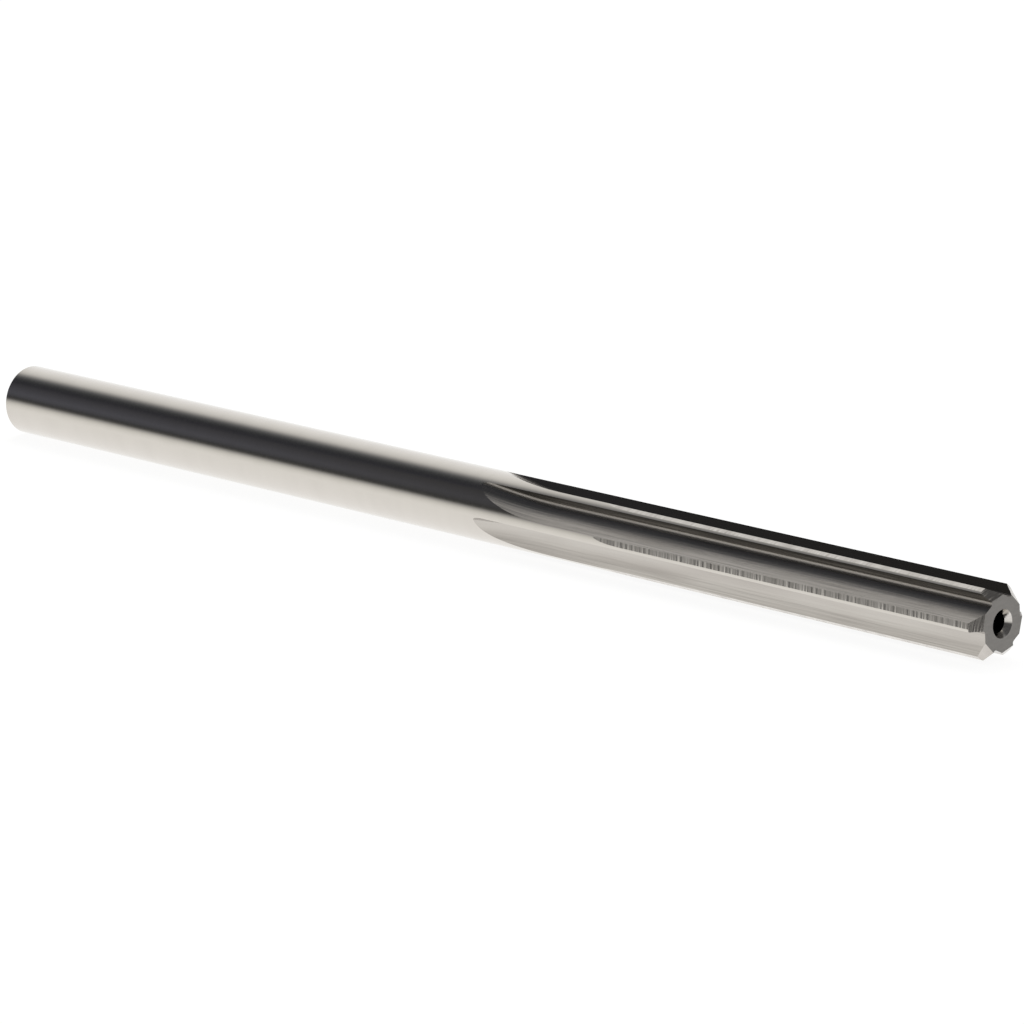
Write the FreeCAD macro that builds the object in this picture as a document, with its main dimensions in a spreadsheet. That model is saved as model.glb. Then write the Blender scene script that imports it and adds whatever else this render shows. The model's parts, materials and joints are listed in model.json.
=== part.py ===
import FreeCAD, Part
import math
import os

import Sketcher

# Machine reamer, 3/16 in, jobbers length: one bar of high-speed steel with a plain straight shank and
# six straight flutes, right-hand cutting. All sizes are in millimetres and degrees.
#
# The body's own X axis is the axis of the tool, with the cutting end toward +X and the middle of its
# length at zero. The body's XY plane is the rake face of the first tooth, so +Y is the radius that
# ends in its cutting edge, +Z looks into the flute in front of it, and -Z goes back over its land to
# the heel. The body's Placement then lays the tool on its shank, whose lowest line is at height zero.

SIZES = {
    # The bar. The cutting part has a slight back taper, so that it doesn't rub in the hole: it is
    # cutting_diameter at the end face and down to shank_diameter after taper_length.
    "cutting_diameter": 4.7625,
    "shank_diameter": 4.75,
    "overall_length": 88.9,
    "taper_length": 44.45,
    "shank_chamfer": 0.35,
    "tooth_count": 6,
    # Each flute is ground by a wheel whose side makes the rake face and whose rim makes the floor,
    # square to it. flute_length runs from the end face to where the wheel leaves the bar.
    "flute_length": 42.0,
    "flute_floor_radius": 1.6,
    "flute_root_fillet": 0.2,
    "flute_wheel_radius": 28.0,
    # Behind each cutting edge a narrow margin keeps the full radius, and a flat falls away to the
    # heel. relief_length runs from the end face to where the flat begins to run out.
    "margin_angle": 4.0,
    "relief_angle": 10.0,
    "relief_length": 29.2,
    "relief_wheel_radius": 75.0,
    # The lead: one facet across the front of each tooth.
    "lead_angle": 45.0,
    "lead_end_radius": 1.8,
    "lead_relief": 18.0,
    # Centre holes, one in each end, that the bar was ground between.
    "centre_rim_radius": 0.88,
    "centre_pilot_radius": 0.65,
    "centre_angle": 60.0,
    "centre_depth": 2.0,
    "centre_drill_angle": 120.0,
    # How far the tool is turned about its axis as it lies.
    "rest_turn": 4.8,
    # How far round its wheel a run-out is swept, and how far cuts pass the bar.
    "wheel_sweep": 30.0,
    "overcut": 0.5,
}

CUTTING_RADIUS = "Sizes.cutting_diameter / 2"
SHANK_RADIUS = "Sizes.shank_diameter / 2"
HALF_LENGTH = "Sizes.overall_length / 2"
OUTSIDE = f"{CUTTING_RADIUS} + Sizes.overcut"

# Ends of a line or arc, and a sketch's own origin and horizontal axis, as sketch constraints number them.
START, END = 1, 2
ORIGIN = (-1, 1)
HORIZONTAL_AXIS = -1

# A cut that takes less than this, in cubic millimetres, has missed the bar.
SMALLEST_CUT = 1e-4


def make_sheet(document):
    """Write every driving dimension into the spreadsheet, each under its own alias."""
    sheet = document.addObject("Spreadsheet::Sheet", "Sizes")
    for row, (alias, value) in enumerate(SIZES.items(), start=1):
        sheet.set(f"A{row}", alias)
        sheet.set(f"B{row}", str(value))
        sheet.setAlias(f"B{row}", alias)
    document.recompute()


def origin_feature(body, role):
    """Return the body's own origin plane or axis that has this role."""
    return next(feature for feature in body.Origin.OriginFeatures if feature.Role == role)


def make_sketch(body, name, plane_role, offset=None):
    """Attach an empty sketch to an origin plane, moved along its normal by an expression."""
    sketch = body.newObject("Sketcher::SketchObject", name)
    sketch.AttachmentSupport = [(origin_feature(body, plane_role), "")]
    sketch.MapMode = "FlatFace"
    if offset is not None:
        sketch.setExpression("AttachmentOffset.Base.z", offset)
    return sketch


def add_outline(sketch, corners):
    """Draw a closed outline of straight lines through the corners, joined end to end.

    Returns the lines' numbers in the sketch. Each line starts at the corner with its own place in the list.
    """
    points = [FreeCAD.Vector(x, y, 0) for x, y in corners]
    edges = [Part.LineSegment(a, b) for a, b in zip(points, points[1:] + points[:1])]
    lines = list(sketch.addGeometry(edges, False))
    for line, following in zip(lines, lines[1:] + lines[:1]):
        sketch.addConstraint(Sketcher.Constraint("Coincident", line, END, following, START))
    return lines


def add_axis(sketch, start, end):
    """Draw a construction line, the axis that a wheel turns about."""
    line = Part.LineSegment(FreeCAD.Vector(*start, 0), FreeCAD.Vector(*end, 0))
    return sketch.addGeometry(line, True)


def add_rule(sketch, kind, *references):
    """Add a geometric constraint, such as Horizontal or Tangent."""
    sketch.addConstraint(Sketcher.Constraint(kind, *references))


def add_dimension(sketch, name, kind, references, value, expression):
    """Add a named dimension and bind it to the sheet."""
    number = sketch.addConstraint(Sketcher.Constraint(kind, *references, value))
    sketch.renameConstraint(number, name)
    sketch.setExpression(f"Constraints.{name}", expression)


def add_angle(sketch, name, line, degrees, expression):
    """Fix a line's direction, counted from the sketch's horizontal axis, and bind it to the sheet."""
    add_dimension(sketch, name, "Angle", (line,), math.radians(degrees), expression)


def cut_away(body, name, sketch, length, reverse=False):
    """Pocket the sketch out of the body."""
    pocket = body.newObject("PartDesign::Pocket", name)
    pocket.Profile = (sketch, [""])
    pocket.Type = "Length"
    pocket.Reversed = reverse
    pocket.setExpression("Length", length)
    return pocket


def wheel_away(body, name, sketch, reverse=False):
    """Sweep the sketch about its own construction line, as a wheel leaves the bar on its run-out."""
    groove = body.newObject("PartDesign::Groove", name)
    groove.Profile = (sketch, [""])
    groove.ReferenceAxis = (sketch, ["Axis0"])
    groove.Reversed = reverse
    groove.setExpression("Angle", "Sizes.wheel_sweep")
    return groove


def turned(body, kind, name, sketch):
    """Revolve or groove the sketch all round the tool's axis."""
    feature = body.newObject(kind, name)
    feature.Profile = (sketch, [""])
    feature.ReferenceAxis = (origin_feature(body, "X_Axis"), [""])
    feature.Angle = 360
    return feature


def make_bar(body):
    """Turn the plain bar, with its back taper and a small chamfer round the shank's end."""
    cutting_radius = SIZES["cutting_diameter"] / 2
    shank_radius = SIZES["shank_diameter"] / 2
    half = SIZES["overall_length"] / 2
    chamfer = SIZES["shank_chamfer"]
    sketch = make_sketch(body, "BarProfile", "XY_Plane")
    corners = [
        (-half, 0),
        (half, 0),
        (half, cutting_radius),
        (half - SIZES["taper_length"], shank_radius),
        (chamfer - half, shank_radius),
        (-half, shank_radius - chamfer),
    ]
    axis_line, tip_line, taper_line, shank_line, chamfer_line, rear_line = add_outline(sketch, corners)
    add_rule(sketch, "PointOnObject", axis_line, START, HORIZONTAL_AXIS)
    add_rule(sketch, "Horizontal", axis_line)
    add_rule(sketch, "Vertical", tip_line)
    add_rule(sketch, "Horizontal", shank_line)
    add_rule(sketch, "Vertical", rear_line)
    add_dimension(sketch, "to_tip", "DistanceX", (*ORIGIN, axis_line, END), half, HALF_LENGTH)
    add_dimension(sketch, "to_shank_end", "DistanceX", (axis_line, START, *ORIGIN), half, HALF_LENGTH)
    for name, line, radius, expression in (
        ("cutting_radius", taper_line, cutting_radius, CUTTING_RADIUS),
        ("shank_radius", shank_line, shank_radius, SHANK_RADIUS),
    ):
        add_dimension(sketch, name, "DistanceY", (*ORIGIN, line, START), radius, expression)
    taper_ends = (taper_line, END, taper_line, START)
    taper = SIZES["taper_length"]
    add_dimension(sketch, "taper_length", "DistanceX", taper_ends, taper, "Sizes.taper_length")
    chamfer_ends = (chamfer_line, END, chamfer_line, START)
    for name, kind in (("chamfer_along", "DistanceX"), ("chamfer_across", "DistanceY")):
        add_dimension(sketch, name, kind, chamfer_ends, chamfer, "Sizes.shank_chamfer")
    return turned(body, "PartDesign::Revolution", "Bar", sketch)


def make_centre_holes(body):
    """Cut a centre hole in the cutting end, countersink and drilled pilot, and mirror it to the shank."""
    half = SIZES["overall_length"] / 2
    rim = SIZES["centre_rim_radius"]
    pilot = SIZES["centre_pilot_radius"]
    cone_slope = math.tan(math.radians(SIZES["centre_angle"] / 2))
    drill_slope = math.tan(math.radians(SIZES["centre_drill_angle"] / 2))
    wall_end = half - SIZES["centre_depth"]
    sketch = make_sketch(body, "CentreHoleProfile", "XY_Plane")
    corners = [
        (wall_end - pilot / drill_slope, 0),
        (half, 0),
        (half, rim),
        (half - (rim - pilot) / cone_slope, pilot),
        (wall_end, pilot),
    ]
    axis_line, end_line, cone_line, wall_line, drill_line = add_outline(sketch, corners)
    add_rule(sketch, "PointOnObject", axis_line, START, HORIZONTAL_AXIS)
    add_rule(sketch, "Horizontal", axis_line)
    add_rule(sketch, "Vertical", end_line)
    add_rule(sketch, "Horizontal", wall_line)
    add_dimension(sketch, "to_end", "DistanceX", (*ORIGIN, axis_line, END), half, HALF_LENGTH)
    depth_ends = (wall_line, END, axis_line, END)
    add_dimension(sketch, "depth", "DistanceX", depth_ends, SIZES["centre_depth"], "Sizes.centre_depth")
    for name, line, value in (("rim_radius", end_line, rim), ("pilot_radius", cone_line, pilot)):
        add_dimension(sketch, name, "DistanceY", (*ORIGIN, line, END), value, f"Sizes.centre_{name}")
    for name, line in (("centre_angle", cone_line), ("centre_drill_angle", drill_line)):
        add_angle(sketch, name, line, SIZES[name] / 2 - 180, f"Sizes.{name} / 2 - 180")

    hole = turned(body, "PartDesign::Groove", "CentreHole", sketch)
    both = body.newObject("PartDesign::Mirrored", "CentreHoles")
    both.Originals = [hole]
    both.MirrorPlane = (origin_feature(body, "YZ_Plane"), [""])
    body.Tip = both
    return [hole, both]


def make_flute(body):
    """Grind the first flute: straight from the end face, then out of the bar round the wheel's rim."""
    top = SIZES["cutting_diameter"] / 2 + SIZES["overcut"]
    width = SIZES["cutting_diameter"] / 2
    floor = SIZES["flute_floor_radius"]
    wheel = SIZES["flute_wheel_radius"]
    fillet = SIZES["flute_root_fillet"]
    depth = f"({SHANK_RADIUS} - Sizes.flute_floor_radius)"
    run_out = f"sqrt(2 * Sizes.flute_wheel_radius * {depth} - {depth} * {depth})"
    straight = f"(Sizes.flute_length - {run_out})"

    sketch = make_sketch(body, "FluteProfile", "YZ_Plane", f"{HALF_LENGTH} - {straight}")
    corners = [(top, 0), (floor, 0), (floor, width), (top, width)]
    rake_line, floor_line, far_line, top_line = add_outline(sketch, corners)
    root_arc = sketch.GeometryCount
    root_corner = (root_arc + 1, START)
    sketch.fillet(rake_line, END, fillet, True, True)
    wheel_axis = add_axis(sketch, (floor + wheel, 0), (floor + wheel, width))
    add_rule(sketch, "PointOnObject", rake_line, START, HORIZONTAL_AXIS)
    add_rule(sketch, "Horizontal", rake_line)
    add_rule(sketch, "Vertical", floor_line)
    add_rule(sketch, "Horizontal", far_line)
    add_rule(sketch, "Vertical", top_line)
    add_rule(sketch, "PointOnObject", wheel_axis, START, HORIZONTAL_AXIS)
    add_rule(sketch, "Vertical", wheel_axis)
    along_axis = (wheel_axis, START, wheel_axis, END)
    add_dimension(sketch, "axis_length", "DistanceY", along_axis, width, CUTTING_RADIUS)
    add_dimension(sketch, "top", "DistanceX", (*ORIGIN, rake_line, START), top, OUTSIDE)
    add_dimension(sketch, "width", "DistanceY", (*ORIGIN, far_line, START), width, CUTTING_RADIUS)
    floor_ends = (*ORIGIN, *root_corner)
    add_dimension(sketch, "floor_radius", "DistanceX", floor_ends, floor, "Sizes.flute_floor_radius")
    add_dimension(sketch, "root_fillet", "Radius", (root_arc,), fillet, "Sizes.flute_root_fillet")
    to_axis = (*root_corner, wheel_axis, START)
    add_dimension(sketch, "wheel_radius", "DistanceX", to_axis, wheel, "Sizes.flute_wheel_radius")

    flute = cut_away(body, "Flute", sketch, f"{straight} + Sizes.overcut", reverse=True)
    return [flute, wheel_away(body, "FluteRunOut", sketch, reverse=True)]


def make_relief(body):
    """Grind the flat behind the first tooth's margin, and its run-out beyond relief_length."""
    radius = SIZES["cutting_diameter"] / 2
    top = radius + SIZES["overcut"]
    reach = SIZES["cutting_diameter"] / 4
    wheel = SIZES["relief_wheel_radius"]
    margin = math.radians(SIZES["margin_angle"])
    fall = math.radians(SIZES["margin_angle"] + SIZES["relief_angle"])
    # The flat meets the full radius where the margin ends. Carried forward from there, it passes over
    # the cutting edge at this height.
    height = radius * (math.cos(margin) + math.sin(margin) * math.tan(fall))
    fall_expression = "(Sizes.margin_angle + Sizes.relief_angle)"
    height_expression = (
        f"{CUTTING_RADIUS} * (cos(Sizes.margin_angle) + sin(Sizes.margin_angle) * tan{fall_expression})"
    )

    sketch = make_sketch(body, "ReliefProfile", "YZ_Plane", f"{HALF_LENGTH} - Sizes.relief_length")
    corners = [(height, 0), (height - reach * math.tan(fall), -reach), (top, -reach), (top, 0)]
    flat_line, far_line, top_line, front_line = add_outline(sketch, corners)
    axis_start = height + wheel / math.cos(fall)
    wheel_axis = add_axis(sketch, (axis_start, 0), (axis_start - reach * math.tan(fall), -reach))
    add_rule(sketch, "PointOnObject", flat_line, START, HORIZONTAL_AXIS)
    add_rule(sketch, "Horizontal", front_line)
    add_rule(sketch, "Horizontal", far_line)
    add_rule(sketch, "Vertical", top_line)
    add_rule(sketch, "PointOnObject", wheel_axis, START, HORIZONTAL_AXIS)
    add_rule(sketch, "Parallel", flat_line, wheel_axis)
    add_rule(sketch, "Equal", flat_line, wheel_axis)
    add_dimension(sketch, "height", "DistanceX", (*ORIGIN, flat_line, START), height, height_expression)
    add_dimension(sketch, "top", "DistanceX", (*ORIGIN, top_line, END), top, OUTSIDE)
    back_from_edge = (flat_line, END, *ORIGIN)
    add_dimension(sketch, "reach", "DistanceY", back_from_edge, reach, "Sizes.cutting_diameter / 4")
    add_angle(sketch, "fall", flat_line, -90 - math.degrees(fall), f"-90 - {fall_expression}")
    axis_ends = (flat_line, START, wheel_axis)
    add_dimension(sketch, "wheel_radius", "Distance", axis_ends, wheel, "Sizes.relief_wheel_radius")

    relief = cut_away(body, "Relief", sketch, "Sizes.relief_length + Sizes.overcut", reverse=True)
    return [relief, wheel_away(body, "ReliefRunOut", sketch)]


def make_lead(body):
    """Grind the facet across the front of the first tooth, falling away behind its cutting edge."""
    half = SIZES["overall_length"] / 2
    radius = SIZES["cutting_diameter"] / 2
    over = SIZES["overcut"]
    slope = math.tan(math.radians(SIZES["lead_angle"]))
    end_radius = SIZES["lead_end_radius"]
    sketch = make_sketch(body, "LeadProfile", "XY_Plane")
    corners = [
        (half + over, end_radius - over * slope),
        (half + over, radius + over),
        (half - (radius + over - end_radius) / slope, radius + over),
    ]
    front_line, top_line, lead_line = add_outline(sketch, corners)
    edge_point = sketch.addGeometry(Part.Point(FreeCAD.Vector(half, end_radius, 0)), True)
    add_rule(sketch, "Vertical", front_line)
    add_rule(sketch, "Horizontal", top_line)
    add_rule(sketch, "PointOnObject", edge_point, START, lead_line)
    front_corner = (*ORIGIN, front_line, END)
    add_dimension(sketch, "front", "DistanceX", front_corner, half + over, f"{HALF_LENGTH} + Sizes.overcut")
    add_dimension(sketch, "top", "DistanceY", front_corner, radius + over, OUTSIDE)
    end_edge = (*ORIGIN, edge_point, START)
    add_dimension(sketch, "end_face", "DistanceX", end_edge, half, HALF_LENGTH)
    add_dimension(sketch, "end_radius", "DistanceY", end_edge, end_radius, "Sizes.lead_end_radius")
    add_angle(sketch, "lead_angle", lead_line, -SIZES["lead_angle"], "-Sizes.lead_angle")

    lead = cut_away(body, "Lead", sketch, CUTTING_RADIUS)
    lead.UseCustomVector = True
    fall = math.radians(SIZES["lead_relief"])
    lead.Direction = FreeCAD.Vector(0, -math.sin(fall), -math.cos(fall))
    lead.setExpression("Direction.y", "-sin(Sizes.lead_relief)")
    lead.setExpression("Direction.z", "-cos(Sizes.lead_relief)")
    return [lead]


def make_teeth(body, cuts):
    """Repeat the cuts that make one tooth round the tool's axis."""
    teeth = body.newObject("PartDesign::PolarPattern", "Teeth")
    teeth.Originals = cuts
    teeth.Axis = (origin_feature(body, "X_Axis"), [""])
    teeth.Angle = 360
    teeth.setExpression("Occurrences", "Sizes.tooth_count")
    return teeth


def make_reamer(document):
    """Build the reamer's body, lay it down and return it with every feature that removes material."""
    body = document.addObject("PartDesign::Body", "Reamer")
    body.Label = "reamer"
    make_bar(body)
    cuts = make_centre_holes(body)
    document.recompute()
    tooth = make_flute(body) + make_relief(body) + make_lead(body)
    document.recompute()
    teeth = make_teeth(body, tooth)
    body.Tip = teeth
    turn = FreeCAD.Rotation(FreeCAD.Vector(1, 0, 0), SIZES["rest_turn"])
    body.Placement = FreeCAD.Placement(FreeCAD.Vector(0, 0, 0), turn)
    body.setExpression("Placement.Base.z", SHANK_RADIUS)
    body.setExpression("Placement.Rotation.Angle", "Sizes.rest_turn")
    document.recompute()
    return body, cuts + tooth + [teeth]


def check(document, body, cuts):
    """Stop unless every object is sound, every cut removed something and the body is one solid."""
    for item in document.Objects:
        if "Invalid" in item.State or "Error" in item.State:
            raise RuntimeError(f"{item.Name} failed: {item.State}")
    for cut in cuts:
        removed = cut.BaseFeature.Shape.Volume - cut.Shape.Volume
        if removed <= SMALLEST_CUT:
            raise RuntimeError(f"{cut.Name} removed nothing")
    shape = body.Shape
    if shape.isNull() or not shape.isValid() or len(shape.Solids) != 1:
        raise RuntimeError("the reamer isn't one valid solid")


def main():
    document = FreeCAD.newDocument("MachineReamer")
    make_sheet(document)
    body, cuts = make_reamer(document)
    check(document, body, cuts)
    os.makedirs("parts", exist_ok=True)
    body.Shape.exportStep(os.path.join("parts", f"{body.Label}.step"))


main()
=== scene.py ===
"""Looks of a machine reamer: one bar of high-speed steel, ground all over, lying on a pale floor.

Shapes are worked out in millimetres and degrees about the tool's own axis, with the cutting end towards
+X, and a finished mesh is scaled to metres and laid in its place.
"""

import json
import logging
import math
from abc import ABC, abstractmethod
from dataclasses import dataclass, field
from enum import Enum, IntEnum, auto
from typing import ClassVar

import bmesh
import bpy
from mathutils import Matrix, Vector


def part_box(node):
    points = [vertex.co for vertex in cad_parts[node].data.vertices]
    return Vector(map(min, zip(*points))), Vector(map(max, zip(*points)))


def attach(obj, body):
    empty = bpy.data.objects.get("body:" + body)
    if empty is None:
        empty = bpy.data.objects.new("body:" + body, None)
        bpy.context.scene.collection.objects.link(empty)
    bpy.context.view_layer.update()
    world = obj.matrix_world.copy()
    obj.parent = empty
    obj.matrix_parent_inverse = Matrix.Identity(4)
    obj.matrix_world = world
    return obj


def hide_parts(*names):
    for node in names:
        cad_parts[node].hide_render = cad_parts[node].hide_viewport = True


log = logging.getLogger("reamer")

MM = 0.001
# Points closer than this, in millimetres, are one point.
SAME_POINT = 1e-5
CAD_NODE = "reamer"
GRAIN_MAP = "grain"

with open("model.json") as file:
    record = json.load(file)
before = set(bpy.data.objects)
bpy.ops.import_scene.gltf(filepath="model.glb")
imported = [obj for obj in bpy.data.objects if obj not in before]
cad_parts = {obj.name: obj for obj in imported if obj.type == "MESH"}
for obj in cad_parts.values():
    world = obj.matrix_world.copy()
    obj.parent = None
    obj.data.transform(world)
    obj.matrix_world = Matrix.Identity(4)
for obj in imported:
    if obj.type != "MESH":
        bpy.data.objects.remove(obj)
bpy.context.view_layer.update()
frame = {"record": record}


# ---------------------------------------------------------------- small helpers


def linear(hex_colour: str) -> tuple[float, float, float, float]:
    """Turn an sRGB colour into the linear one that shaders take.

    Args:
        hex_colour: The colour as "#RRGGBB".

    Returns:
        Linear red, green and blue, and an alpha of 1.
    """
    parts = [int(hex_colour[at : at + 2], 16) / 255 for at in (1, 3, 5)]
    return (*(c / 12.92 if c <= 0.04045 else ((c + 0.055) / 1.055) ** 2.4 for c in parts), 1.0)


def polar(radius: float, degrees: float) -> Vector:
    """Return the point of a cross-section at this radius and angle."""
    return Vector((math.cos(math.radians(degrees)), math.sin(math.radians(degrees)))) * radius


def angle_of(point: Vector) -> float:
    """Return a cross-section point's angle in degrees."""
    return math.degrees(math.atan2(point.y, point.x))


def turned_by(point: Vector, degrees: float) -> Vector:
    """Return a cross-section point turned about the axis."""
    return polar(point.length, angle_of(point) + degrees)


def meeting_point(first: tuple[float, float], second: tuple[float, float]) -> Vector:
    """Find where two straight lines of a cross-section cross.

    Args:
        first: The angle of the line's normal in degrees, and the line's distance from the axis.
        second: The same for the other line.

    Returns:
        The point that lies on both lines.
    """
    a, b = math.radians(first[0]), math.radians(second[0])
    spread = math.sin(b - a)
    return Vector(
        (
            (first[1] * math.sin(b) - second[1] * math.sin(a)) / spread,
            (second[1] * math.cos(a) - first[1] * math.cos(b)) / spread,
        )
    )


def steps(start: float, end: float, count: int) -> list[float]:
    """Return count evenly spaced values that go on from start, which is left out, to end."""
    return [start + (end - start) * number / count for number in range(1, count + 1)]


def add_node(
    tree: bpy.types.NodeTree,
    kind: str,
    settings: dict[str, object] | None = None,
    inputs: dict[str | int, object] | None = None,
) -> bpy.types.Node:
    """Add a node to a tree.

    Args:
        tree: The tree that gets the node.
        kind: The node's type, such as "ShaderNodeBump".
        settings: Values of the node's own properties.
        inputs: For each input, a value, or the output socket that is linked to it.

    Returns:
        The new node.
    """
    node = tree.nodes.new(kind)
    for name, value in (settings or {}).items():
        setattr(node, name, value)
    for name, value in (inputs or {}).items():
        if isinstance(value, bpy.types.NodeSocket):
            tree.links.new(value, node.inputs[name])
        else:
            node.inputs[name].default_value = value
    return node


# ---------------------------------------------------------------- finishes


class Lay(Enum):
    """Which way the wheel's lines run on a face."""

    ALONG = auto()
    AROUND = auto()
    NONE = auto()


@dataclass(frozen=True)
class GroundSteel:
    """High-speed steel as a grinding wheel leaves it: bright metal with fine parallel lines.

    Widths, lengths and depths are in millimetres, as the grain map holds millimetres along and around the
    tool. A real wheel's lines are 0.01 to 0.05 mm apart. They are drawn coarser, so that they show.
    """

    name: str
    colour: str
    stain: str
    roughness: float
    lay: Lay
    line_width: float
    line_length: float
    line_depth: float
    roughness_spread: float = 0.0
    stain_share: float = 0.3
    anisotropy: float = 0.0
    # How far each pass of a chattering wheel may tilt the face, as a slope.
    chatter: float = 0.0
    pass_lines: ClassVar[float] = 1.6
    pass_length: ClassVar[float] = 40.0
    stain_lines: ClassVar[float] = 9.0
    stain_lengths: ClassVar[float] = 2.0
    # The detail of the noise for the lines themselves, and for the stains and the passes.
    fine_detail: ClassVar[float] = 3.0
    broad_detail: ClassVar[float] = 2.0
    # The range of a noise that the stains, and then the roughness, are spread over.
    stain_range: ClassVar[tuple[float, float]] = (0.4, 0.75)
    roughness_range: ClassVar[tuple[float, float]] = (0.3, 0.7)

    def grain_scale(self, width: float, length: float) -> tuple[float, float, float]:
        """Return the scale that makes a noise's grain this wide across the lines and this long on them."""
        if self.lay is Lay.ALONG:
            return 1 / length, 1 / width, 1.0
        return 1 / width, 1 / length, 1.0

    def material(self) -> bpy.types.Material:
        """Return the finish as a material."""
        made = bpy.data.materials.new(self.name)
        made.use_nodes = True
        tree = made.node_tree
        tree.nodes.clear()
        grain = add_node(tree, "ShaderNodeUVMap", {"uv_map": GRAIN_MAP}).outputs["UV"]
        fine = self.noise(tree, grain, self.line_width, self.line_length, self.fine_detail)
        broad = self.noise(
            tree,
            grain,
            self.line_width * self.stain_lines,
            self.line_length * self.stain_lengths,
            self.broad_detail,
        )
        stained = add_node(
            tree,
            "ShaderNodeMapRange",
            {"clamp": True},
            {
                "Value": broad,
                "From Min": self.stain_range[0],
                "From Max": self.stain_range[1],
                "To Max": self.stain_share,
            },
        ).outputs["Result"]
        colour = add_node(
            tree,
            "ShaderNodeMix",
            {"data_type": "RGBA"},
            {"Factor": stained, 6: linear(self.colour), 7: linear(self.stain)},
        ).outputs[2]
        roughness = add_node(
            tree,
            "ShaderNodeMapRange",
            {"clamp": True},
            {
                "Value": fine,
                "From Min": self.roughness_range[0],
                "From Max": self.roughness_range[1],
                "To Min": self.roughness - self.roughness_spread,
                "To Max": self.roughness + self.roughness_spread,
            },
        ).outputs["Result"]
        height = add_node(
            tree, "ShaderNodeMath", {"operation": "MULTIPLY"}, {0: fine, 1: self.line_depth}
        ).outputs["Value"]
        if self.chatter:
            height = self.with_chatter(tree, grain, height)
        relief = add_node(
            tree, "ShaderNodeBump", None, {"Height": height, "Distance": MM, "Strength": 1.0}
        ).outputs["Normal"]
        inputs = {"Base Color": colour, "Metallic": 1.0, "Roughness": roughness, "Normal": relief}
        if self.anisotropy:
            way = add_node(
                tree, "ShaderNodeTangent", {"direction_type": "UV_MAP", "uv_map": GRAIN_MAP}
            ).outputs["Tangent"]
            # The shader spreads its highlight along the tangent, which is the map's first direction.
            turn = 0.25 if self.lay is Lay.ALONG else 0.0
            inputs |= {"Anisotropic": self.anisotropy, "Anisotropic Rotation": turn, "Tangent": way}
        steel = add_node(tree, "ShaderNodeBsdfPrincipled", None, inputs).outputs["BSDF"]
        add_node(tree, "ShaderNodeOutputMaterial", None, {"Surface": steel})
        return made

    def with_chatter(
        self, tree: bpy.types.NodeTree, grain: bpy.types.NodeSocket, height: bpy.types.NodeSocket
    ) -> bpy.types.NodeSocket:
        """Add the tilt that each pass of a chattering wheel leaves across the face.

        Args:
            tree: The material's tree.
            grain: The grain map's socket.
            height: The height of the fine lines, in millimetres.

        Returns:
            The socket with both heights added.
        """
        width = self.line_width * self.pass_lines
        passes = self.noise(tree, grain, width, self.pass_length, self.broad_detail)
        tilt = add_node(
            tree,
            "ShaderNodeMapRange",
            {"clamp": False},
            {"Value": passes, "To Min": -self.chatter, "To Max": self.chatter},
        ).outputs["Result"]
        across = add_node(tree, "ShaderNodeSeparateXYZ", None, {"Vector": grain}).outputs["Y"]
        return add_node(
            tree, "ShaderNodeMath", {"operation": "MULTIPLY_ADD"}, {0: tilt, 1: across, 2: height}
        ).outputs["Value"]

    def noise(
        self,
        tree: bpy.types.NodeTree,
        grain: bpy.types.NodeSocket,
        width: float,
        length: float,
        detail: float,
    ) -> bpy.types.NodeSocket:
        """Add a noise that is drawn out along the lines.

        Args:
            tree: The material's tree.
            grain: The grain map's socket.
            width: How wide a line is.
            length: How long a line is.
            detail: The noise's detail.

        Returns:
            The socket with the noise's height.
        """
        placed = add_node(
            tree, "ShaderNodeMapping", None, {"Vector": grain, "Scale": self.grain_scale(width, length)}
        ).outputs["Vector"]
        drawn = add_node(
            tree, "ShaderNodeTexNoise", None, {"Vector": placed, "Scale": 1.0, "Detail": detail}
        )
        return drawn.outputs["Fac"]


# Ground between centres and polished: nearly a mirror, with faint lines round the bar.
POLISHED_BAR = GroundSteel(
    name="polished_bar_steel",
    colour="#D5D0C8",
    stain="#CFCAC2",
    roughness=0.13,
    lay=Lay.AROUND,
    line_width=0.16,
    line_length=3.0,
    line_depth=0.0004,
    roughness_spread=0.02,
    stain_share=0.5,
)
# The rim of the flute wheel leaves lines along the flute that are easy to see.
FLUTE_FLOOR = GroundSteel(
    name="flute_floor_steel",
    colour="#C7C2BB",
    stain="#A8A29B",
    roughness=0.2,
    lay=Lay.ALONG,
    line_width=0.16,
    line_length=8.0,
    line_depth=0.013,
    roughness_spread=0.05,
    stain_share=0.8,
    anisotropy=0.5,
)
# The side of the same wheel leaves the rake face smoother. Its darker grey is painted shade, so that the
# rake's reflection of the dark room goes near black.
RAKE_STEEL_PAINTED_SHADE = GroundSteel(
    name="rake_face_steel_painted_shade",
    colour="#8E8A85",
    stain="#7E7A76",
    roughness=0.14,
    lay=Lay.ALONG,
    line_width=0.07,
    line_length=20.0,
    line_depth=0.0004,
    roughness_spread=0.03,
    stain_share=0.4,
    anisotropy=0.4,
)
# The wheel's worn corner leaves the hollow between them duller.
FLUTE_ROOT = GroundSteel(
    name="flute_root_steel",
    colour="#B5B0A9",
    stain="#9C9791",
    roughness=0.4,
    lay=Lay.ALONG,
    line_width=0.05,
    line_length=12.0,
    line_depth=0.001,
    roughness_spread=0.05,
    stain_share=0.5,
    anisotropy=0.6,
)
# A cup wheel crosses the land, so its lines run round the tool and break the reflection up.
RELIEF_FLAT = GroundSteel(
    name="relief_flat_steel",
    colour="#D6D1CA",
    stain="#B0AAA3",
    roughness=0.2,
    lay=Lay.AROUND,
    line_width=0.14,
    line_length=2.5,
    line_depth=0.002,
    roughness_spread=0.05,
    stain_share=0.7,
    anisotropy=0.3,
    chatter=0.13,
)
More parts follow.
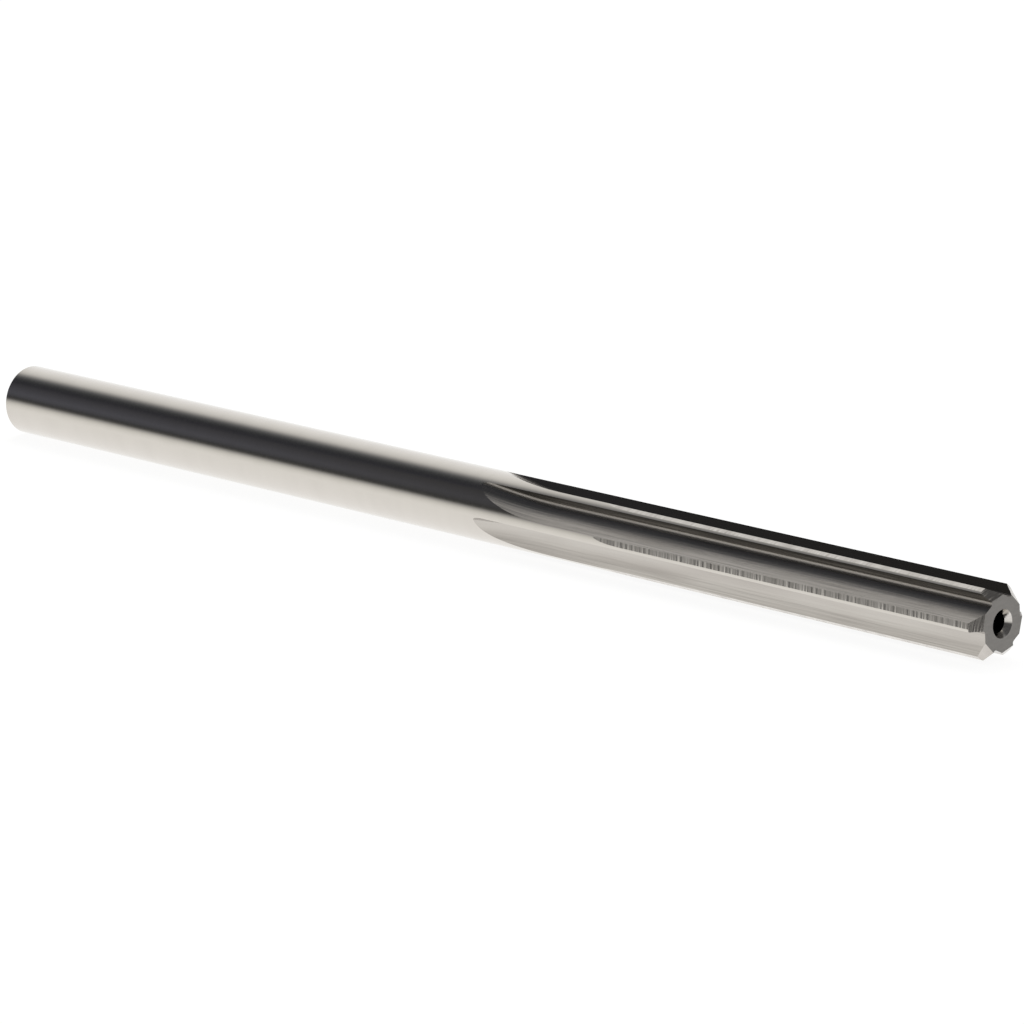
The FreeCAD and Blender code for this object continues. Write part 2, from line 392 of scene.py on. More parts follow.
# The lead is ground the same way by a finer wheel, so its marks are closer together.
LEAD_FACET = GroundSteel(
    name="lead_facet_steel",
    colour="#CBC6BF",
    stain="#ADA7A1",
    roughness=0.24,
    lay=Lay.AROUND,
    line_width=0.08,
    line_length=2.0,
    line_depth=0.001,
    roughness_spread=0.06,
    stain_share=0.5,
    anisotropy=0.3,
    chatter=0.08,
)
# Faced and left dull, a darker even grey than the ground sides.
END_FACE = GroundSteel(
    name="end_face_steel",
    colour="#8A8783",
    stain="#7B7875",
    roughness=0.5,
    lay=Lay.NONE,
    line_width=0.12,
    line_length=0.12,
    line_depth=0.0015,
    roughness_spread=0.05,
    stain_share=0.4,
)
# Left bright by the centre grinder, so the far side of the hole's mouth catches the light.
CENTRE_MOUTH = GroundSteel(
    name="centre_mouth_steel",
    colour="#DAD6D0",
    stain="#A09D99",
    roughness=0.16,
    lay=Lay.NONE,
    line_width=0.15,
    line_length=0.15,
    line_depth=0.0015,
    roughness_spread=0.04,
    stain_share=0.5,
)
# Painted shade: the drilled part is coloured near black, where a deep hole lets little light back out, so
# the hole looks deep.
HOLE_PAINTED_SHADE = GroundSteel(
    name="drilled_hole_painted_shade",
    colour="#2B2A29",
    stain="#201F1E",
    roughness=0.45,
    lay=Lay.NONE,
    line_width=0.2,
    line_length=0.2,
    line_depth=0.002,
    roughness_spread=0.05,
    stain_share=0.5,
)


# ---------------------------------------------------------------- surfaces of the tool


class Patch(IntEnum):
    """The kinds of surface on the tool, in the order of the cross-section where they lie on a tooth."""

    LEAD = 0
    RELIEF = auto()
    MARGIN = auto()
    RAKE = auto()
    ROOT = auto()
    FLOOR = auto()
    OUTSIDE = auto()
    CHAMFER = auto()
    REAR_FACE = auto()
    REAR_SINK = auto()
    PILOT = auto()
    REAR_DRILL = auto()
    TIP_FACE = auto()
    TIP_SINK = auto()
    TIP_DRILL = auto()


FINISHES = {
    Patch.LEAD: LEAD_FACET,
    Patch.RELIEF: RELIEF_FLAT,
    Patch.MARGIN: POLISHED_BAR,
    # The rake takes the steel that carries painted shade in its colour.
    Patch.RAKE: RAKE_STEEL_PAINTED_SHADE,
    Patch.ROOT: FLUTE_ROOT,
    Patch.FLOOR: FLUTE_FLOOR,
    Patch.OUTSIDE: POLISHED_BAR,
    Patch.CHAMFER: POLISHED_BAR,
    Patch.REAR_FACE: END_FACE,
    Patch.REAR_SINK: CENTRE_MOUTH,
    # The pilot and the drilled bottoms of both holes take the hole's painted shade.
    Patch.PILOT: HOLE_PAINTED_SHADE,
    Patch.REAR_DRILL: HOLE_PAINTED_SHADE,
    Patch.TIP_FACE: END_FACE,
    Patch.TIP_SINK: CENTRE_MOUTH,
    Patch.TIP_DRILL: HOLE_PAINTED_SHADE,
}


class Surface(ABC):
    """A surface that knows its own true normal, so that its reflections don't show the mesh's facets.

    Points are in the frame of their tooth: X along the tool, Y along the radius of the cutting edge.
    """

    @abstractmethod
    def normal(self, point: Vector, middle: Vector) -> Vector:
        """Return the normal at a face's corner.

        Args:
            point: The corner.
            middle: The middle of the face, for where the corner alone doesn't say.

        Returns:
            The outward normal.
        """

    @abstractmethod
    def grain(self, point: Vector) -> tuple[float, float]:
        """Return how far the point lies along the tool and around it on this surface."""


@dataclass(frozen=True)
class Turned(Surface):
    """A surface of revolution, given by how far its normal leans from the radius towards the tip."""

    lean: float

    def normal(self, point: Vector, middle: Vector) -> Vector:
        """Return the radius at the corner, leant along the axis."""
        out = point if point.yz.length > SAME_POINT else middle
        radial = Vector((0.0, out.y, out.z)).normalized()
        lean = math.radians(self.lean)
        return radial * math.cos(lean) + Vector((math.sin(lean), 0.0, 0.0))

    def grain(self, point: Vector) -> tuple[float, float]:
        """Return the distance along the axis and along the arc, or the place on an end face."""
        if abs(self.lean) == 90:
            return point.y, point.z
        return point.x, point.yz.length * math.atan2(point.z, point.y)


@dataclass(frozen=True)
class Facet(Surface):
    """A plane face of a tooth."""

    facing: tuple[float, float, float]

    def normal(self, point: Vector, middle: Vector) -> Vector:
        """Return the plane's normal."""
        return Vector(self.facing).normalized()

    def grain(self, point: Vector) -> tuple[float, float]:
        """Return the place on the plane."""
        around = Vector((0.0, -self.facing[2], self.facing[1])).normalized()
        return point.x, point.dot(around)


@dataclass(frozen=True)
class WheelCut(Surface):
    """A flat that a grinding wheel's rim cuts along the tool, and where it then leaves the bar.

    angle is the direction of the flat's normal, height its distance from the axis, and leaves how far
    behind the end face the wheel begins to leave. half_length places the end face. The normal leans by the
    first angle of leans up to the first distance of leans_between across the flat, and by the second angle
    past the second distance. That stands for a cut that isn't quite flat, by up to about 0.1 mm, and is
    set by how the flute's reflections should look. The mesh stays flat.
    """

    angle: float
    height: float
    wheel_radius: float
    leaves: float
    half_length: float
    leans: tuple[float, float] = (0.0, 0.0)
    leans_between: tuple[float, float] = (0.0, 1.0)

    def height_at(self, back: float, above: float = 0.0) -> float:
        """Find the flat's distance from the axis.

        Args:
            back: The distance behind the end face.
            above: How far above the wheel's rim the point was cut, by the wheel's rounded corner.

        Returns:
            The distance from the axis at that place.
        """
        past = max(0.0, back - self.leaves)
        reach = self.wheel_radius - above
        return self.height + self.wheel_radius - math.sqrt(reach**2 - past**2)

    def back_at(self, height: float) -> float:
        """Return how far behind the end face the run-out reaches this height."""
        rise = height - self.height
        return self.leaves + math.sqrt(rise * (2 * self.wheel_radius - rise))

    def line(self, back: float) -> tuple[float, float]:
        """Return the flat as a line of the cross-section there."""
        return self.angle, self.height_at(back)

    def to_wheel(self, point: Vector) -> Vector:
        """Return the vector from a point to the wheel's axis, square to that axis."""
        past = max(0.0, self.half_length - point.x - self.leaves)
        out = Vector((0.0, *polar(1.0, self.angle)))
        return Vector((past, 0.0, 0.0)) + out * (self.height + self.wheel_radius - point.dot(out))

    def normal(self, point: Vector, middle: Vector) -> Vector:
        """Return the direction towards the wheel's axis, leant as the rim is."""
        start, end = self.leans_between
        share = min(max((self.grain(point)[1] - start) / (end - start), 0.0), 1.0)
        share *= share * (3 - 2 * share)
        lean = self.leans[0] + (self.leans[1] - self.leans[0]) * share
        return Matrix.Rotation(math.radians(lean), 3, "X") @ self.to_wheel(point).normalized()

    def grain(self, point: Vector) -> tuple[float, float]:
        """Return the distance along the tool and across the flat."""
        return point.x, point.dot(Vector((0.0, *polar(1.0, self.angle + 90))))


@dataclass(frozen=True)
class RootFillet(Surface):
    """The hollow that the flute wheel's rounded corner leaves between the rake face and the floor."""

    floor: WheelCut
    radius: float

    def outline(self, back: float, turn: float) -> Vector:
        """Return the point of the cross-section that lies this far round the hollow, from 0 to 1."""
        swept = turn * math.pi / 2
        above = self.radius * (1 - math.sin(swept))
        return Vector((self.floor.height_at(back, above), self.radius * (1 - math.cos(swept))))

    def normal(self, point: Vector, middle: Vector) -> Vector:
        """Return the direction towards the middle of the wheel's rounded corner."""
        to_wheel = self.floor.to_wheel(point)
        above = self.floor.wheel_radius - to_wheel.length
        inward = to_wheel.normalized() * (self.radius - above)
        return (inward + Vector((0.0, 0.0, self.radius - point.z))).normalized()

    def grain(self, point: Vector) -> tuple[float, float]:
        """Return the distance along the tool and round the hollow."""
        return point.x, point.z - point.y


# ---------------------------------------------------------------- the reamer


@dataclass
class Reamer:
    """The whole tool: a round bar with centred ends and six ground teeth."""

    cutting_radius: float = 2.38125
    taper_length: float = 44.45
    shank_chamfer: float = 0.35
    tooth_count: int = 6
    flute_length: float = 42.0
    flute_floor_radius: float = 1.6
    root_fillet: float = 0.2
    flute_wheel_radius: float = 28.0
    margin_angle: float = 4.0
    relief_angle: float = 10.0
    relief_length: float = 29.2
    relief_wheel_radius: float = 75.0
    lead_end_radius: float = 1.8
    lead_relief: float = 18.0
    centre_rim_radius: float = 0.88
    centre_pilot_radius: float = 0.65
    centre_half_angle: float = 30.0
    centre_depth: float = 2.0
    drill_half_angle: float = 60.0
    rest_turn: float = 4.8
    floor_leans: tuple[float, float] = (9.0, -7.0)
    floor_leans_between: tuple[float, float] = (0.3, 1.2)
    hole_segments: int = 96
    # How many edges of the cross-section each face of a tooth gets.
    divisions: dict[Patch, int] = field(
        default_factory=lambda: {
            Patch.LEAD: 2,
            Patch.RELIEF: 3,
            Patch.MARGIN: 24,
            Patch.RAKE: 3,
            Patch.ROOT: 6,
            Patch.FLOOR: 10,
        }
    )
    # How many cross-sections each stretch gets, from the cutting end to the shank.
    lead_rings: tuple[int, int, int] = (3, 4, 4)
    relief_rings: int = 6
    relief_end_rings: int = 12
    flute_rings: int = 3
    flute_end_rings: int = 48
    shank_rings: int = 6
    # How finely the root's hollow is searched, and how often a range is halved to find a place in it.
    root_samples: int = 200
    halvings: int = 50
    # Layers of the mesh while it is made: a vertex's place in its ring, and a face's kind and tooth.
    place: bmesh.types.BMLayerItem = field(init=False, repr=False)
    patch: bmesh.types.BMLayerItem = field(init=False, repr=False)
    tooth: bmesh.types.BMLayerItem = field(init=False, repr=False)

    def __post_init__(self) -> None:
        """Take the overall sizes from the frame, and work out each ground surface."""
        low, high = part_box(CAD_NODE)
        mount = next(m for m in frame["record"]["mounts"] if m["name"] == "shank")
        self.half_length = (high.x - low.x) / 2 / MM
        self.shank_radius = mount["dims"]["r_mm"]
        self.pitch = 360 / self.tooth_count
        rise = self.shank_radius - self.flute_floor_radius
        run_out = math.sqrt(rise * (2 * self.flute_wheel_radius - rise))
        self.floor = WheelCut(
            0.0,
            self.flute_floor_radius,
            self.flute_wheel_radius,
            self.flute_length - run_out,
            self.half_length,
            self.floor_leans,
            self.floor_leans_between,
        )
        self.relief = WheelCut(
            -self.margin_angle - self.relief_angle,
            self.cutting_radius * math.cos(math.radians(self.relief_angle)),
            self.relief_wheel_radius,
            self.relief_length,
            self.half_length,
        )
        self.root = RootFillet(self.floor, self.root_fillet)
        lead = math.radians(self.lead_relief)
        self.surfaces: dict[Patch, Surface] = {
            Patch.LEAD: Facet((math.cos(lead), math.cos(lead), -math.sin(lead))),
            Patch.RELIEF: self.relief,
            Patch.MARGIN: Turned(0),
            Patch.RAKE: Facet((0.0, 0.0, 1.0)),
            Patch.ROOT: self.root,
            Patch.FLOOR: self.floor,
            Patch.OUTSIDE: Turned(0),
            Patch.CHAMFER: Turned(-45),
            Patch.REAR_FACE: Turned(-90),
            Patch.REAR_SINK: Turned(self.centre_half_angle - 180),
            Patch.PILOT: Turned(180),
            Patch.REAR_DRILL: Turned(self.drill_half_angle - 180),
            Patch.TIP_FACE: Turned(90),
            Patch.TIP_SINK: Turned(180 - self.centre_half_angle),
            Patch.TIP_DRILL: Turned(180 - self.drill_half_angle),
        }
        self.sector = [patch for patch, count in self.divisions.items() for _ in range(count)]

    # -------- cross-section

    def outside_radius(self, back: float) -> float:
        """Return the bar's radius this far behind the end face, with its back taper."""
        share = min(back / self.taper_length, 1.0)
        return self.cutting_radius + (self.shank_radius - self.cutting_radius) * share

    def lead_line(self, back: float) -> tuple[float, float]:
        """Return the lead facet's plane as a line of the cross-section."""
        return -self.lead_relief, (self.lead_end_radius + back) * math.cos(math.radians(self.lead_relief))

    def lead_back(self, point: Vector) -> float:
        """Return how far behind the end face the lead facet's plane passes a cross-section point."""
        return point.dot(polar(1.0, -self.lead_relief)) / math.cos(math.radians(self.lead_relief)) - (
            self.lead_end_radius
        )

    def root_turns(self, back: float, radius: float) -> tuple[float, float]:
        """Find how much of the root's hollow lies inside the bar, as its run-out leaves it.

        Args:
            back: The distance behind the end face.
            radius: The bar's radius there.

        Returns:
            Where round the hollow it begins and ends, from 0 to 1.
        """

        def depth(turn: float) -> float:
            return radius - self.root.outline(back, turn).length

        deepest = max(steps(0.0, 1.0, self.root_samples), key=depth)
        if depth(deepest) <= 0:
            return deepest, deepest
        found = []
        for end in (0.0, 1.0):
            inner, outer = deepest, end
            if depth(end) < 0:
                for _ in range(self.halvings):
                    middle = (inner + outer) / 2
                    inner, outer = (middle, outer) if depth(middle) > 0 else (inner, middle)
            found.append(outer)
        return found[0], found[1]

    def section(self, back: float) -> list[Vector]:
        """Work out one tooth's part of the cross-section, from its heel to the next tooth's.

        Args:
            back: The distance behind the end face.

        Returns:
            As many points as the sector has edges, in the tooth's frame. Each edge starts at its point.
        """
        radius = self.outside_radius(back)
        first, last = self.root_turns(back, radius)
        shares = (0.0, *steps(0, 1, self.divisions[Patch.ROOT]))
        root = [self.root.outline(back, first + (last - first) * share) for share in shares]
        lead, flat = self.lead_line(back), self.relief.line(back)

        next_heel = root[-1]
        if last == 1.0:
            floor_line = self.floor.line(back)
            heels = [polar(radius, math.degrees(math.acos(floor_line[1] / radius)))]
            for angle, height in (lead, flat):
                if height < radius:
                    heels.append(meeting_point(floor_line, (angle + self.pitch, height)))
            next_heel = min(heels, key=lambda point: point.y)
        heel = turned_by(next_heel, -self.pitch)
        edge = root[0]
        if first == 0.0:
            edge = Vector((min(radius, self.lead_end_radius + back), 0.0))

        crossings = {
            line: line[0] + math.degrees(math.acos(line[1] / radius)) if line[1] < radius else -math.inf
            for line in (lead, flat)
        }
        land_start = max(angle_of(heel), *crossings.values())
        margin_end = polar(radius, land_start) if land_start < angle_of(edge) else edge
        if crossings[lead] > angle_of(heel) and crossings[lead] >= crossings[flat]:
            relief_end = margin_end
        else:
            relief_end = heel
            if crossings[flat] > -math.inf:
                corner = meeting_point(lead, flat)
                if angle_of(corner) > angle_of(heel):
                    relief_end = corner

        corners = {
            Patch.LEAD: (heel, relief_end),
            Patch.RELIEF: (relief_end, margin_end),
            Patch.RAKE: (edge, root[0]),
            Patch.FLOOR: (root[-1], next_heel),
        }
        points = []
        for patch, count in self.divisions.items():
            shares = [number / count for number in range(count)]
            if patch is Patch.MARGIN:
                start, end = angle_of(margin_end), angle_of(edge)
                size = margin_end.length
                points += [polar(size, start + (end - start) * share) for share in shares]
            elif patch is Patch.ROOT:
                points += root[:-1]
            else:
                start, end = corners[patch]
                points += [start.lerp(end, share) for share in shares]
        return points

    def outline(self, back: float) -> list[Vector]:
        """Return the whole cross-section this far behind the end face, as points of the tool."""
        sector = self.section(back)
        x = self.half_length - back
        return [
            Vector((x, *turned_by(point, tooth * self.pitch)))
            for tooth in range(self.tooth_count)
            for point in sector
        ]

    def stations(self) -> list[float]:
        """Choose how far behind the end face the toothed part's cross-sections lie.

        Returns:
            Distances from the end face to the end of the flutes, closer together where shapes change.
        """
        radius = self.cutting_radius
        margin = polar(radius, -self.margin_angle)
        heel = self.section(self.relief_length / 2)[0]
        lead = [0.0]
        for point, count in zip((polar(radius, 0), margin, heel), self.lead_rings):
            lead += steps(lead[-1], self.lead_back(point), count)

        relief = steps(lead[-1], self.relief_length, self.relief_rings)
        radius = self.outside_radius(self.relief_length)
        floor_half = math.degrees(math.acos(self.flute_floor_radius / radius))
        relief_start = math.degrees(math.acos(self.relief.height / radius)) + self.relief.angle
        for angle in steps(relief_start, floor_half - self.pitch, self.relief_end_rings):
            height = radius * math.cos(math.radians(angle - self.relief.angle))
            relief.append(self.relief.back_at(height))

        flute = steps(relief[-1], self.floor.leaves, self.flute_rings)
        radius = self.outside_radius(self.flute_length)
        closed, opened = self.flute_length, self.floor.leaves
        for _ in range(self.halvings):
            middle = (closed + opened) / 2
            first, last = self.root_turns(middle, self.outside_radius(middle))
            closed, opened = (middle, opened) if first == last else (closed, middle)
        end_half = math.degrees(math.acos(self.floor.height_at(closed) / radius))
        for angle in steps(floor_half, end_half, self.flute_end_rings)[:-1]:
            flute.append(self.floor.back_at(radius * math.cos(math.radians(angle))))
        return lead + relief + flute + [closed]

    # -------- mesh

    def build(self) -> bpy.types.Object:
        """Build the tool's mesh.

        Returns:
            The object, at the origin and in metres.
        """
        shell = bmesh.new()
        self.place = shell.verts.layers.int.new("place")
        self.patch = shell.faces.layers.int.new("patch")
        self.tooth = shell.faces.layers.int.new("tooth")

        ring = self.start_ring(shell, self.outline(0.0))
        for back in self.stations()[1:]:
            ring = self.draw_out(shell, ring, self.outline(back))
        self.draw_bar(shell, ring)
        bmesh.ops.remove_doubles(shell, verts=shell.verts, dist=SAME_POINT)

        rim = [
            Vector((self.half_length, *polar(self.centre_rim_radius, 360 * n / self.hole_segments)))
            for n in range(self.hole_segments)
        ]
        self.draw_hole(shell, self.start_ring(shell, rim), 1, (Patch.TIP_SINK, Patch.TIP_DRILL))
        bmesh.ops.remove_doubles(shell, verts=shell.verts, dist=SAME_POINT)
        open_edges = [edge for edge in shell.edges if edge.is_boundary]
        filled = bmesh.ops.triangle_fill(shell, use_beauty=True, edges=open_edges, normal=(1, 0, 0))
        for face in filled["geom"]:
            if isinstance(face, bmesh.types.BMFace):
                face[self.patch] = Patch.TIP_FACE
        bmesh.ops.recalc_face_normals(shell, faces=shell.faces)

        normals = self.finish_faces(shell)
        turn = Matrix.Rotation(math.radians(self.rest_turn), 4, "X")
        lift = Matrix.Translation((0, 0, self.shank_radius))
        laid = Matrix.Scale(MM, 4) @ lift @ turn
        bmesh.ops.transform(shell, matrix=laid, verts=shell.verts)
        mesh = bpy.data.meshes.new("machine_reamer")
        shell.to_mesh(mesh)
        shell.free()
        mesh.normals_split_custom_set([turn.to_3x3() @ normal for normal in normals])
        piece = bpy.data.objects.new("machine_reamer", mesh)
        bpy.context.scene.collection.objects.link(piece)
        return piece

    def start_ring(self, shell: bmesh.types.BMesh, points: list[Vector]) -> list[bmesh.types.BMEdge]:
        """Start a ring of edges through these points.

        Returns:
            The ring's edges.
        """
        made = bmesh.ops.create_circle(shell, segments=len(points), radius=1.0)["verts"]
        for number, (vertex, point) in enumerate(zip(made, points)):
            vertex[self.place] = number
            vertex.co = point
        return list(dict.fromkeys(edge for vertex in made for edge in vertex.link_edges))

    def draw_out(
        self,
        shell: bmesh.types.BMesh,
        ring: list[bmesh.types.BMEdge],
        points: list[Vector],
        patch: Patch | None = None,
    ) -> list[bmesh.types.BMEdge]:
        """Extrude a ring, and put the new ring on these points.

        Args:
            shell: The mesh.
            ring: The edges to extrude.
            points: Where the new ring's vertices go.
            patch: The new faces' kind. Without it they are the faces of the teeth.

        Returns:
            The new ring's edges.
        """
        drawn = bmesh.ops.extrude_edge_only(shell, edges=ring)["geom"]
        fresh = {item for item in drawn if isinstance(item, bmesh.types.BMVert)}
        for vertex in fresh:
            vertex.co = points[vertex[self.place]]
        for face in {face for vertex in fresh for face in vertex.link_faces}:
            places = sorted({vertex[self.place] for vertex in face.verts})
            first = places[-1] if places[-1] - places[0] > 1 else places[0]
            face[self.tooth] = first // len(self.sector) if patch is None else 0
            face[self.patch] = self.sector[first % len(self.sector)] if patch is None else patch
        return [item for item in drawn if isinstance(item, bmesh.types.BMEdge) and set(item.verts) <= fresh]

    def draw_bar(self, shell: bmesh.types.BMesh, ring: list[bmesh.types.BMEdge]) -> None:
        """Carry the last cross-section of the teeth on as the plain shank, to the hole in its end."""
        around = [point.yz.normalized() for point in self.outline(self.stations()[-1])]
        end = 2 * self.half_length
        chamfer_start = end - self.shank_chamfer
        plain = (self.taper_length, *steps(self.taper_length, chamfer_start, self.shank_rings))
        rings = [(back, self.shank_radius, Patch.OUTSIDE) for back in plain]
        rings.append((end, self.shank_radius - self.shank_chamfer, Patch.CHAMFER))
        rings.append((end, self.centre_rim_radius, Patch.REAR_FACE))
        for back, radius, patch in rings:
            points = [Vector((self.half_length - back, *(way * radius))) for way in around]
            ring = self.draw_out(shell, ring, points, patch)
        self.draw_hole(shell, ring, -1, (Patch.REAR_SINK, Patch.REAR_DRILL))

    def draw_hole(
        self,
        shell: bmesh.types.BMesh,
        ring: list[bmesh.types.BMEdge],
        facing: int,
        patches: tuple[Patch, Patch],
    ) -> None:
        """Draw a centre hole in from its rim.

        Args:
            shell: The mesh.
            ring: The rim's edges.
            facing: 1 for the hole in the cutting end, -1 for the hole in the shank.
            patches: The kinds of its countersink and its drilled bottom.
        """
        ways = {vertex[self.place]: vertex.co.yz.normalized() for edge in ring for vertex in edge.verts}
        sink = (self.centre_rim_radius - self.centre_pilot_radius) / math.tan(
            math.radians(self.centre_half_angle)
        )
        point_depth = self.centre_pilot_radius / math.tan(math.radians(self.drill_half_angle))
        for depth, radius, patch in (
            (sink, self.centre_pilot_radius, patches[0]),
            (self.centre_depth, self.centre_pilot_radius, Patch.PILOT),
            (self.centre_depth + point_depth, 0.0, patches[1]),
        ):
            x = facing * (self.half_length - depth)
            points = [Vector((x, *(ways[number] * radius))) for number in range(len(ways))]
            ring = self.draw_out(shell, ring, points, patch)

    def finish_faces(self, shell: bmesh.types.BMesh) -> list[Vector]:
        """Give each face its finish and its grain map.

        Returns:
            The true normal at each corner, in the mesh's order.
        """
        grain = shell.loops.layers.uv.new(GRAIN_MAP)
        slots = list(dict.fromkeys(FINISHES.values()))
        normals = []
        for face in shell.faces:
            patch = Patch(face[self.patch])
            surface = self.surfaces[patch]
            face.material_index = slots.index(FINISHES[patch])
            face.smooth = True
            turn = Matrix.Rotation(math.radians(face[self.tooth] * self.pitch), 3, "X")
            back_turn = turn.transposed()
            middle = back_turn @ face.calc_center_median()
            for loop in face.loops:
                point = back_turn @ loop.vert.co
                loop[grain].uv = surface.grain(point)
                normals.append(turn @ surface.normal(point, middle))
        return normals

    def dress(self, piece: bpy.types.Object) -> None:
        """Give the piece its finishes, in the order that its faces number them."""
        for finish in dict.fromkeys(FINISHES.values()):
            piece.data.materials.append(finish.material())


# ---------------------------------------------------------------- studio


@dataclass(frozen=True)
class Viewpoint:
    """The camera, given by what it looks at. Azimuth 0 looks along +Y."""

    target: tuple[float, float, float] = (3.65, 0.0, 2.27)
    azimuth: float = 45.137
    elevation: float = 13.324
    distance: float = 338.9
    lens: float = 186.2

    def place(self) -> None:
        """Make the camera and put it in its place."""
        azimuth, elevation = math.radians(self.azimuth), math.radians(self.elevation)
        away = Vector(
            (
                math.sin(azimuth) * math.cos(elevation),
                -math.cos(azimuth) * math.cos(elevation),
                math.sin(elevation),
            )
        )
        camera = bpy.data.objects.new("camera", bpy.data.cameras.new("camera"))
        camera.data.lens = self.lens
        camera.data.sensor_width = 36.0
        camera.data.clip_start = 0.005
        camera.data.clip_end = 50.0
        camera.location = (Vector(self.target) + away * self.distance) * MM
        camera.rotation_euler = away.to_track_quat("Z", "Y").to_euler()
        bpy.context.scene.collection.objects.link(camera)
        bpy.context.scene.camera = camera


@dataclass(frozen=True)
class Studio:
    """A white floor, white surroundings behind and below, and a dark room on the camera's side.

    room gives what the metal shows, by the angle in degrees over the tool: 0 is level behind it, 90
    overhead, 180 level on the camera's side and 270 straight below. Each stop has its red, green and blue.
    Two parts of the room differ from that. far_side is the wall past the cutting end, and near_side the
    wall on the camera's side, which is dimmer except far towards the shank. The ranges after them are
    where each one comes in, as parts of the direction's X, Y and Z.
    """

    floor_colour: str = "#737372"
    floor_glow: float = 0.89
    floor_radius: float = 6.0
    room_light: float = 0.62
    lamp_power: float = 5.0
    lamp_size: float = 0.9
    lamp_place: tuple[float, float, float] = (-0.45, 0.5, 1.0)
    room_start: float = -60.0
    room: tuple[tuple[float, float, float, float], ...] = (
        (-60, 1.06, 1.06, 1.06),
        (6, 1.06, 1.07, 1.08),
        (42, 0.97, 0.97, 0.98),
        (54, 0.9, 0.9, 0.9),
        (65, 0.8, 0.8, 0.8),
        (74, 0.62, 0.62, 0.62),
        (83, 0.3, 0.3, 0.31),
        (91, 0.12, 0.125, 0.135),
        (99, 0.058, 0.061, 0.068),
        (107, 0.035, 0.037, 0.044),
        (116, 0.033, 0.034, 0.043),
        (128, 0.058, 0.059, 0.072),
        (152, 0.092, 0.095, 0.118),
        (161, 0.08, 0.083, 0.1),
        (169, 0.05, 0.051, 0.056),
        (175, 0.09, 0.09, 0.09),
        (181, 0.39, 0.39, 0.39),
        (188, 0.73, 0.73, 0.72),
        (195, 0.9, 0.9, 0.89),
        (205, 1.0, 1.0, 1.0),
        (250, 1.04, 1.04, 1.05),
        (299.9, 1.08, 1.08, 1.09),
    )
    far_side: tuple[float, float, float] = (0.085, 0.085, 0.088)
    far_side_x: tuple[float, float] = (-0.3, 0.3)
    far_side_z: tuple[float, float] = (-0.02, 0.1)
    near_side: tuple[float, float, float] = (0.05, 0.05, 0.05)
    near_side_x: tuple[float, float] = (-0.74, -0.655)
    near_side_y: tuple[float, float] = (-0.15, -0.35)
    near_side_z: tuple[float, float] = (0.02, 0.1)

    def build(self) -> None:
        """Make the floor, the surroundings and the lamp."""
        self.lay_floor()
        self.set_surroundings()
        self.hang_lamp()

    def lay_floor(self) -> None:
        """Make the floor. It glows for the camera and keeps the tool's shadow.

        The metal doesn't show the floor itself: the surroundings below the horizon stand for it.
        """
        sheet = bmesh.new()
        bmesh.ops.create_circle(sheet, cap_ends=True, segments=64, radius=self.floor_radius)
        mesh = bpy.data.meshes.new("floor")
        sheet.to_mesh(mesh)
        sheet.free()
        material = bpy.data.materials.new("floor_paper")
        material.use_nodes = True
        tree = material.node_tree
        tree.nodes.clear()
        paper = add_node(
            tree, "ShaderNodeBsdfDiffuse", None, {"Color": linear(self.floor_colour)}
        ).outputs["BSDF"]
        seen = add_node(tree, "ShaderNodeLightPath").outputs["Is Camera Ray"]
        strength = add_node(
            tree, "ShaderNodeMath", {"operation": "MULTIPLY"}, {0: seen, 1: self.floor_glow}
        ).outputs["Value"]
        glow = add_node(tree, "ShaderNodeEmission", None, {"Strength": strength}).outputs["Emission"]
        both = add_node(tree, "ShaderNodeAddShader", None, {0: paper, 1: glow}).outputs["Shader"]
        add_node(tree, "ShaderNodeOutputMaterial", None, {"Surface": both})
        floor = bpy.data.objects.new("floor", mesh)
        floor.data.materials.append(material)
        floor.visible_glossy = False
        bpy.context.scene.collection.objects.link(floor)

    def set_surroundings(self) -> None:
        """Set the world: plain light, white for the camera, and the room for the metal to show."""
        world = bpy.data.worlds.new("surroundings")
        bpy.context.scene.world = world
        world.use_nodes = True
        tree = world.node_tree
        tree.nodes.clear()
        room = self.room_shown(tree)
        path = add_node(tree, "ShaderNodeLightPath").outputs
        plain = (self.room_light, self.room_light, self.room_light, 1.0)
        metal = add_node(
            tree,
            "ShaderNodeMix",
            {"data_type": "RGBA"},
            {"Factor": path["Is Glossy Ray"], 6: plain, 7: room},
        ).outputs[2]
        colour = add_node(
            tree,
            "ShaderNodeMix",
            {"data_type": "RGBA"},
            {"Factor": path["Is Camera Ray"], 6: metal, 7: (1.0, 1.0, 1.0, 1.0)},
        ).outputs[2]
        light = add_node(tree, "ShaderNodeBackground", None, {"Color": colour, "Strength": 1.0})
        add_node(tree, "ShaderNodeOutputWorld", None, {"Surface": light.outputs["Background"]})

    def room_shown(self, tree: bpy.types.NodeTree) -> bpy.types.NodeSocket:
        """Add the nodes for what the metal shows.

        Args:
            tree: The world's tree.

        Returns:
            The socket with the room's colour.
        """
        way = add_node(tree, "ShaderNodeTexCoord").outputs["Generated"]
        x, y, z = add_node(tree, "ShaderNodeSeparateXYZ", None, {"Vector": way}).outputs
